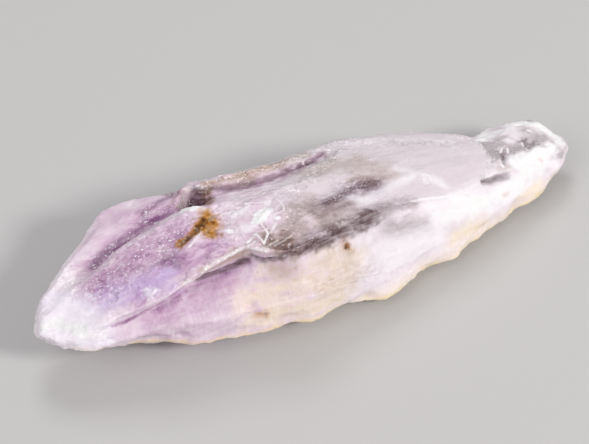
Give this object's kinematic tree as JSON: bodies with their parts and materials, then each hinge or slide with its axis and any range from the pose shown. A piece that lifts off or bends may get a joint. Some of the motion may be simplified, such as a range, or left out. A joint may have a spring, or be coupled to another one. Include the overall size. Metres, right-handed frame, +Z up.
{
  "type": "amethyst crystal",
  "caption": "Rough elongated amethyst crystal, flattened, ridged and etched, with a blunt heel and a tapering broken tip; lies on a flat face.",
  "frame": {"origin": "on the flat resting face, under the middle of the crystal's box", "axes": "+X along the crystal from the blunt heel to the clear tip, +Y from the front flank to the back wall, +Z up, from the resting face to the ridged top"},
  "size_m": [0.05, 0.0162, 0.009],
  "materials": {
    "quartz": "etched, milky and lavender, glossy on small facets, clear towards the tip"
  },
  "bodies": {
    "root": {"amethyst_crystal": "quartz"}
  },
  "joints": []
}
